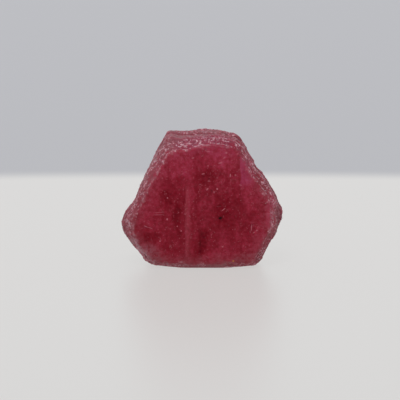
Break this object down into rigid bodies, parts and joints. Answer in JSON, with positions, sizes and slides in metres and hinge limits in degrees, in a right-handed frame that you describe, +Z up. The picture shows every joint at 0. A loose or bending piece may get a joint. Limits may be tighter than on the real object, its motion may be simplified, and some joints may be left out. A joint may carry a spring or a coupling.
{
  "type": "raw ruby crystal",
  "caption": "Rough six-sided tablet of red corundum with a smooth broad face and a frosted, stepped edge, standing on a flat prism face",
  "frame": {"origin": "middle of the crystal's footprint box, on the surface it stands on", "axes": "+X across the broad face, to the right seen from the front; -Y out of the front broad face; +Z up"},
  "size_m": [0.0122, 0.0052, 0.0101],
  "materials": {
    "ruby": "frosted translucent ruby"
  },
  "bodies": {
    "root": {"ruby_crystal": "ruby"}
  },
  "joints": []
}
